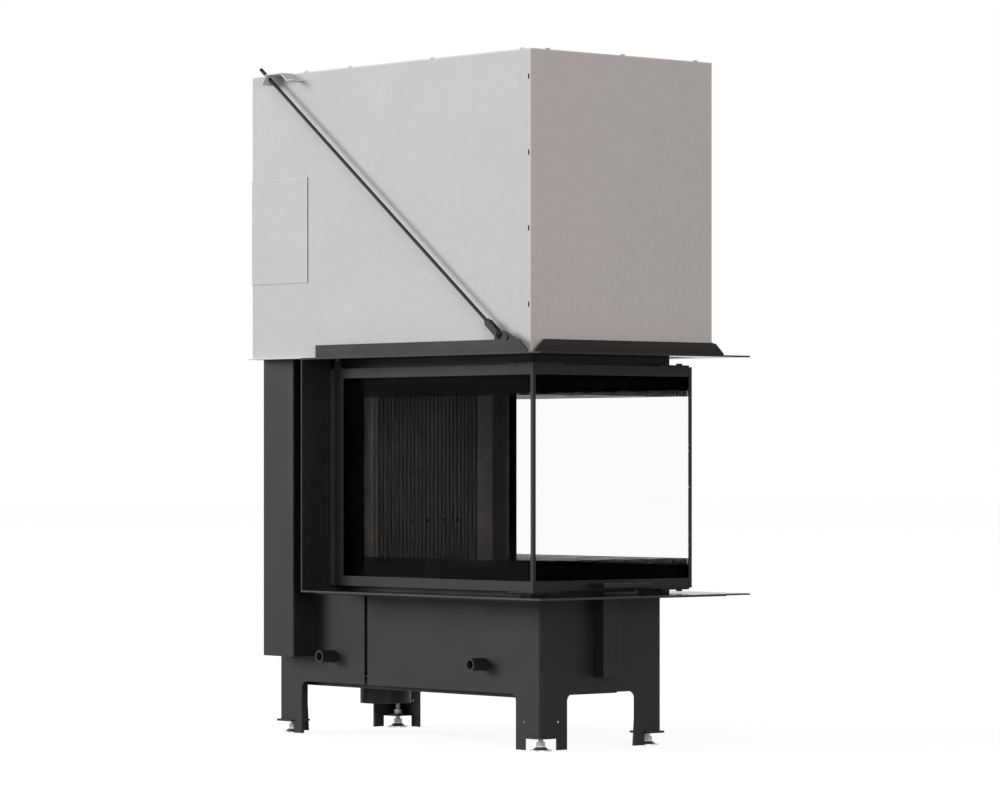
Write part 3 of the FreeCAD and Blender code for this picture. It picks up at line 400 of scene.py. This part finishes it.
# nodes whose look differs from their material slot's
ownCoats = {
    "guide_rails": "black", "lift_uprights": "cutEdge", "back_lining_strips": "strip",
    "lining_cheeks": "cheek", "tie_rod_fasteners": "black", "door_bolts": "black",
}
secondCoats = [
    ("back_lining_ribbed", "groove", turnedX),  # the grooves' sides, painted paler as painted light against the shade in the grooves
    ("lining_cheeks", "cheekPaintedLight", onOuterSide),  # painted light: the cheeks' outer faces take a paler lining for the light they catch
    ("lower_collar_plate", "collar", turnedZ),  # broad faces, smoother than the cut edges
    ("upper_collar_plate", "collar", turnedZ),
    # painted highlight: the lower collar plate's edge faces take the lighter black for the light they catch
    ("lower_collar_plate", "cutEdge", notTurnedZ),
    ("hatch_covers", "black", notTurnedX),  # painted shadow: the covers' edge faces are painted black for the shade in the gap round them
    ("casing_left_panel", "black", inSlot),  # painted shade: the walls of the corner slots are painted black for the shade in them
    ("casing_right_panel", "black", inSlot),
]
for node in frame["nodes"]:
    if node.startswith("levelling_foot"):
        ownCoats[node] = "stud"
        secondCoats.append((node, "cone", inCone))
for row in frame["record"]["subparts"]:
    coatNode(row["node"], slotFinish[row["material_slot"]])
for node, finish in ownCoats.items():
    coatNode(node, finish)
for node, finish, picks in secondCoats:
    paintFaces(frame["nodes"][node].data, finish, picks)
print("finishes given to", len(frame["nodes"]), "nodes")


# Geometry Nodes bench: a tree with named inputs, run once for each shape and kept as a plain mesh
def newBench(name, inputs):
    tree = bpy.data.node_groups.new(name, "GeometryNodeTree")
    interface = tree.interface
    interface.new_socket("Geometry", in_out="OUTPUT", socket_type="NodeSocketGeometry")
    sockets = {}
    for label, kind in inputs.items():
        made = interface.new_socket(label, in_out="INPUT", socket_type="NodeSocket" + kind)
        sockets[label] = made.identifier
    return tree, addNode(tree, "NodeGroupInput").outputs, sockets


# the end of every bench: set in place, made real and given its finish
def closeBench(tree, put, geometry, finish):
    place = addNode(tree, "GeometryNodeTransform")
    link(tree, geometry, place.inputs["Geometry"])
    link(tree, put["Origin"], place.inputs["Translation"])
    if "Turn" in put:
        link(tree, put["Turn"], place.inputs["Rotation"])
    real = addNode(tree, "GeometryNodeRealizeInstances")
    link(tree, place.outputs["Geometry"], real.inputs["Geometry"])
    coat = addNode(tree, "GeometryNodeSetMaterial", {"Material": finishes[finish]})
    link(tree, real.outputs["Geometry"], coat.inputs["Geometry"])
    link(tree, coat.outputs["Geometry"], addNode(tree, "NodeGroupOutput").inputs["Geometry"])


def runBench(tree, sockets, values, name):
    holder = bpy.data.objects.new(name, bpy.data.meshes.new(name))
    bpy.context.scene.collection.objects.link(holder)
    modifier = holder.modifiers.new(tree.name, "NODES")
    modifier.node_group = tree
    for label, value in values.items():
        modifier[sockets[label]] = value
    graph = bpy.context.evaluated_depsgraph_get()
    mesh = bpy.data.meshes.new_from_object(holder.evaluated_get(graph), depsgraph=graph)
    holder.modifiers.remove(modifier)
    bpy.data.objects.remove(holder)
    return mesh


# a wire or ridge of a few sides, swept along a spiral
def sweepSpiral(tree, turns, radius, length, wireRadius, plan):
    spiral = addNode(tree, "GeometryNodeCurveSpiral", {"Resolution": plan["stepsPerTurn"]})
    link(tree, turns, spiral.inputs["Rotations"])
    link(tree, radius, spiral.inputs["Start Radius"])
    link(tree, radius, spiral.inputs["End Radius"])
    link(tree, length, spiral.inputs["Height"])
    wire = addNode(tree, "GeometryNodeCurvePrimitiveCircle", {"Resolution": plan["wireSides"]})
    link(tree, wireRadius, wire.inputs["Radius"])
    sweep = addNode(tree, "GeometryNodeCurveToMesh", {"Fill Caps": True})
    link(tree, spiral.outputs["Curve"], sweep.inputs["Curve"])
    link(tree, wire.outputs["Curve"], sweep.inputs["Profile Curve"])
    return sweep.outputs["Mesh"]


# meshes joined into one piece for one body
def joinPiece(name, meshes, finish, body):
    whole = bmesh.new()
    for mesh in meshes:
        whole.from_mesh(mesh)
        bpy.data.meshes.remove(mesh)
    bmesh.ops.recalc_face_normals(whole, faces=whole.faces)
    mesh = bpy.data.meshes.new(name)
    whole.to_mesh(mesh)
    whole.free()
    mesh.materials.clear()  # also puts every face back on the first slot
    mesh.materials.append(finishes[finish])
    piece = bpy.data.objects.new(name, mesh)
    bpy.context.scene.collection.objects.link(piece)
    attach(piece, body)
    return piece


def slab(low, high):
    mesh = bpy.data.meshes.new("slab")
    made = bmesh.new()
    bmesh.ops.create_cube(made, size=1.0)
    low, high = Vector(low), Vector(high)
    shape = Matrix.Translation((low + high) / 2) @ Matrix.Diagonal((*(high - low), 1.0))
    bmesh.ops.transform(made, verts=made.verts, matrix=shape)
    made.to_mesh(mesh)
    made.free()
    return mesh


# the black ceramic print behind the panes: bands top and bottom, a margin at the rear of the side panes
printPlan = {
    "clearLow": 0.4396, "clearHigh": 0.8195, "clearRear": 0.168, "fade": 0.015,
    "frontPitch": 0.0018, "sidePitch": 0.0033, "rowShare": 0.91,
    "dotShare": 0.54, "lastDot": 0.93, "dotSides": 6,
    "thickness": 0.0002, "gap": 0.00015, "edge": 0.001, "glass": 0.004, "squareShare": 0.99,
}


# rows of dots that shrink row by row, where the black print runs out
def makeFadeBench():
    tree, put, sockets = newBench("print_fade", {
        "Length": "Float", "Dots": "Int", "Rows": "Int", "Row Step": "Float", "Dot Radius": "Float",
        "Thickness": "Float", "Origin": "Vector", "Turn": "Rotation"})
    pitch = calc(tree, "DIVIDE", put["Length"], put["Dots"])
    field = addNode(tree, "GeometryNodeMeshGrid")
    link(tree, calc(tree, "SUBTRACT", put["Length"], pitch), field.inputs["Size X"])
    link(tree, put["Dots"], field.inputs["Vertices X"])
    link(tree, put["Rows"], field.inputs["Vertices Y"])
    deep = calc(tree, "MULTIPLY", put["Row Step"], calc(tree, "SUBTRACT", put["Rows"], 1.0))
    link(tree, deep, field.inputs["Size Y"])
    dot = addNode(tree, "GeometryNodeMeshCylinder", {"Vertices": printPlan["dotSides"]})
    link(tree, put["Dot Radius"], dot.inputs["Radius"])
    link(tree, put["Thickness"], dot.inputs["Depth"])
    spot = addNode(tree, "GeometryNodeInputPosition")
    split = addNode(tree, "ShaderNodeSeparateXYZ")
    link(tree, spot.outputs["Position"], split.inputs["Vector"])
    away = calc(tree, "ADD", calc(tree, "DIVIDE", split.outputs["Y"], deep), 0.5)  # 0 to 1 from the band
    size = addNode(tree, "ShaderNodeMapRange", {"To Min": 1.0, "To Max": printPlan["lastDot"]})
    link(tree, away, size.inputs["Value"])
    spread = addNode(tree, "GeometryNodeInstanceOnPoints")
    link(tree, field.outputs["Mesh"], spread.inputs["Points"])
    link(tree, dot.outputs["Mesh"], spread.inputs["Instance"])
    link(tree, size.outputs["Result"], spread.inputs["Scale"])
    closeBench(tree, put, spread.outputs["Instances"], "print")
    return tree, sockets


def makePanePrint():
    tree, sockets = makeFadeBench()
    plan = printPlan
    meshes = []

    def fadeRow(centre, length, turn, pitch):
        rows = round(plan["fade"] / pitch / plan["rowShare"])
        meshes.append(runBench(tree, sockets, {
            "Length": length, "Dots": round(length / pitch), "Rows": rows, "Row Step": plan["fade"] / rows,
            "Dot Radius": pitch * plan["dotShare"], "Thickness": plan["thickness"],
            "Origin": centre, "Turn": turn}, "fade"))

    def onSidePane(centre, normal):
        return abs(normal.x) > plan["squareShare"] and centre.y < plan["clearRear"]

    upright = math.radians(90)
    lowFade = plan["clearLow"] - plan["fade"]
    highFade = plan["clearHigh"] + plan["fade"]
    fades = (((lowFade + plan["clearLow"]) / 2, upright), ((highFade + plan["clearHigh"]) / 2, -upright))

    low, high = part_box("front_glass")
    behind = high.y + plan["gap"]
    inner = high.x - plan["edge"]
    bands = ((low.z + plan["edge"], lowFade), (highFade, high.z - plan["edge"]))
    for bottom, top in bands:
        meshes.append(slab((-inner, behind, bottom), (inner, behind + plan["thickness"], top)))
    middle = behind + plan["thickness"] / 2
    for level, lean in fades:
        fadeRow((0.0, middle, level), 2 * inner, (lean, 0.0, 0.0), plan["frontPitch"])

    low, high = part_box("side_glass")
    front, rear = low.y + plan["edge"], high.y - plan["edge"]
    length = plan["clearRear"] - front
    centre = (plan["clearRear"] + front) / 2
    paneInner = high.x - plan["glass"] - plan["gap"]
    for side in (-1, 1):
        near, far = sorted((side * paneInner, side * (paneInner - plan["thickness"])))
        for bottom, top in bands:
            meshes.append(slab((near, front, bottom), (far, plan["clearRear"], top)))
        meshes.append(slab((near, plan["clearRear"], bands[0][0]), (far, rear, bands[1][1])))
        for level, lean in fades:
            fadeRow(((near + far) / 2, centre, level), length, (lean, 0.0, upright), plan["sidePitch"])

    piece = joinPiece("pane_print", meshes, "print", "door")
    paintFaces(piece.data, "sidePrint", onSidePane)
    return piece


panePrint = makePanePrint()
print("pane print:", len(panePrint.data.polygons), "faces")

# threaded upper ends of the two sloping tie rods, seen past the bracket
rodThread = {"radius": 0.004, "pitch": 0.00125, "ridge": 0.00045, "length": 0.075, "slope": 37.0,
             "stepsPerTurn": 14, "wireSides": 3}


# a true helical thread: a small three-sided ridge
def makeThreadBench():
    tree, put, sockets = newBench("rolled_thread", {
        "Radius": "Float", "Pitch": "Float", "Length": "Float", "Ridge": "Float", "Origin": "Vector",
        "Turn": "Rotation"})
    turns = calc(tree, "DIVIDE", put["Length"], put["Pitch"])
    ridge = sweepSpiral(tree, turns, put["Radius"], put["Length"], put["Ridge"], rodThread)
    closeBench(tree, put, ridge, "black")
    return tree, sockets


def makeRodThreads():
    tree, sockets = makeThreadBench()
    plan = rodThread
    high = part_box("tie_rods")[1]
    slope = math.radians(plan["slope"])
    along = Vector((0.0, math.cos(slope), math.sin(slope)))
    tipY = high.y - plan["radius"] * math.sin(slope)
    tipZ = high.z - plan["radius"] * math.cos(slope)
    meshes = []
    for side in (-1, 1):
        tip = Vector((side * (high.x - plan["radius"]), tipY, tipZ))
        base = tip - along * (plan["length"] + plan["pitch"])
        meshes.append(runBench(tree, sockets, {
            "Radius": plan["radius"], "Pitch": plan["pitch"], "Length": plan["length"],
            "Ridge": plan["ridge"], "Origin": base, "Turn": (slope - math.radians(90), 0.0, 0.0)},
            "rod_thread"))
    return joinPiece("tie_rod_threads", meshes, "black", "frame")


makeRodThreads()
print("tie rod threads made")

# six-strand wire rope for the door's runs, which shorten as the door goes up
doorRope = {"strands": 6, "strandsAcross": 3, "layLength": 0.022, "travel": 0.5,
            "stepsPerTurn": 8, "wireSides": 5}


def makeRopeBench():
    tree, put, sockets = newBench("wire_rope", {
        "Strands": "Int", "Lay Radius": "Float", "Strand Radius": "Float", "Turns": "Float",
        "Length": "Float", "Origin": "Vector"})
    strand = sweepSpiral(
        tree, put["Turns"], put["Lay Radius"], put["Length"], put["Strand Radius"], doorRope)
    points = addNode(tree, "GeometryNodePoints")
    link(tree, put["Strands"], points.inputs["Count"])
    step = calc(tree, "DIVIDE", 2 * math.pi, put["Strands"])
    index = addNode(tree, "GeometryNodeInputIndex")
    spin = addNode(tree, "ShaderNodeCombineXYZ")
    link(tree, calc(tree, "MULTIPLY", index.outputs["Index"], step), spin.inputs["Z"])
    lay = addNode(tree, "GeometryNodeInstanceOnPoints")
    link(tree, points.outputs["Points"], lay.inputs["Points"])
    link(tree, strand, lay.inputs["Instance"])
    link(tree, spin.outputs["Vector"], lay.inputs["Rotation"])
    closeBench(tree, put, lay.outputs["Instances"], "zinc")
    return tree, sockets


def makeDoorRopes():
    tree, sockets = makeRopeBench()
    low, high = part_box("door_cables")
    radius = (high.y - low.y) / 2
    strand = radius / doorRope["strandsAcross"]
    length = high.z - low.z
    meshes = []
    for side in (-1, 1):
        meshes.append(runBench(tree, sockets, {
            "Strands": doorRope["strands"], "Lay Radius": radius - strand, "Strand Radius": strand,
            "Turns": length / doorRope["layLength"], "Length": length,
            "Origin": (side * (high.x - radius), (low.y + high.y) / 2, low.z)}, "rope"))
    piece = joinPiece("door_ropes", meshes, "zinc", frame["nodes"]["door_cables"]["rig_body"])
    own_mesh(piece)
    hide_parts("door_cables")
    return piece


makeDoorRopes()
print("door ropes made")

# studio: floor and surround that read as white, a broad soft light from the left and a weak warm one in front
studio = {"floorSize": 90.0, "floorTone": 0.2, "floorLift": 0.9, "ambient": 0.45}
lamps = {
    "leftSoftbox": {"at": (-16.4, 13.6, 6.8), "size": 9.0, "power": 3500.0, "colour": (0.98, 1.0, 1.0)},
    "frontFill": {"at": (-5.4, -9.5, 1.9), "size": 3.5, "power": 450.0, "colour": (1.0, 0.84, 0.80)},
}


# 1 for what the camera sees straight, in a reflection or through glass
def seenRays(tree):
    path = addNode(tree, "ShaderNodeLightPath")
    direct = calc(tree, "MAXIMUM", path.outputs["Is Camera Ray"], path.outputs["Is Glossy Ray"])
    return calc(tree, "MAXIMUM", direct, path.outputs["Is Transmission Ray"])


def makeSurround():
    world = bpy.data.worlds.new("white_room")
    bpy.context.scene.world = world
    world.use_nodes = True
    tree = world.node_tree
    sky = tree.nodes["Background"]
    sky.inputs["Color"].default_value = (1.0, 1.0, 1.0, 1.0)
    level = addNode(tree, "ShaderNodeMapRange", {"To Min": studio["ambient"], "To Max": 1.0})
    link(tree, seenRays(tree), level.inputs["Value"])
    link(tree, level.outputs["Result"], sky.inputs["Strength"])


def makeFloor():
    half = studio["floorSize"] / 2
    corners = [(-half, -half, 0), (half, -half, 0), (half, half, 0), (-half, half, 0)]
    mesh = bpy.data.meshes.new("floor")
    mesh.from_pydata(corners, [], [(0, 1, 2, 3)])
    floor = bpy.data.objects.new("floor", mesh)
    bpy.context.scene.collection.objects.link(floor)
    material = bpy.data.materials.new("pale_floor")
    material.use_nodes = True
    tree = material.node_tree
    tree.nodes.remove(tree.nodes["Principled BSDF"])
    grey = studio["floorTone"]
    matt = addNode(tree, "ShaderNodeBsdfDiffuse", {"Color": (grey, grey, grey, 1.0)})
    glow = addNode(tree, "ShaderNodeEmission")
    link(tree, calc(tree, "MULTIPLY", seenRays(tree), studio["floorLift"]), glow.inputs["Strength"])
    both = addNode(tree, "ShaderNodeAddShader")
    link(tree, matt.outputs["BSDF"], both.inputs[0])
    link(tree, glow.outputs["Emission"], both.inputs[1])
    link(tree, both.outputs["Shader"], tree.nodes["Material Output"].inputs["Surface"])
    mesh.materials.append(material)


def makeLamps():
    aim = (Vector(cadBox[0]) + Vector(cadBox[1])) / 2
    for name, lamp in lamps.items():
        data = bpy.data.lights.new(name, "AREA")
        data.size = lamp["size"]
        data.energy = lamp["power"]
        data.color = lamp["colour"]
        light = bpy.data.objects.new(name, data)
        light.location = lamp["at"]
        light.rotation_euler = (aim - Vector(lamp["at"])).to_track_quat("-Z", "Y").to_euler()
        bpy.context.scene.collection.objects.link(light)


bpy.context.scene.view_settings.view_transform = "Standard"
makeSurround()
makeFloor()
makeLamps()
print("studio lit")

viewpoint = {"at": (-6.7901, -7.8313, 0.6699), "turn": -41.1, "lens": 155.88, "sensor": 36.0, "rise": 0.0602}


def makeCamera():
    data = bpy.data.cameras.new("photo_camera")
    data.lens = viewpoint["lens"]
    data.sensor_width = viewpoint["sensor"]
    data.shift_y = viewpoint["rise"]
    camera = bpy.data.objects.new("photo_camera", data)
    camera.location = viewpoint["at"]
    camera.rotation_euler = (math.radians(90), 0.0, math.radians(viewpoint["turn"]))
    bpy.context.scene.collection.objects.link(camera)
    bpy.context.scene.camera = camera


makeCamera()
print("camera set")
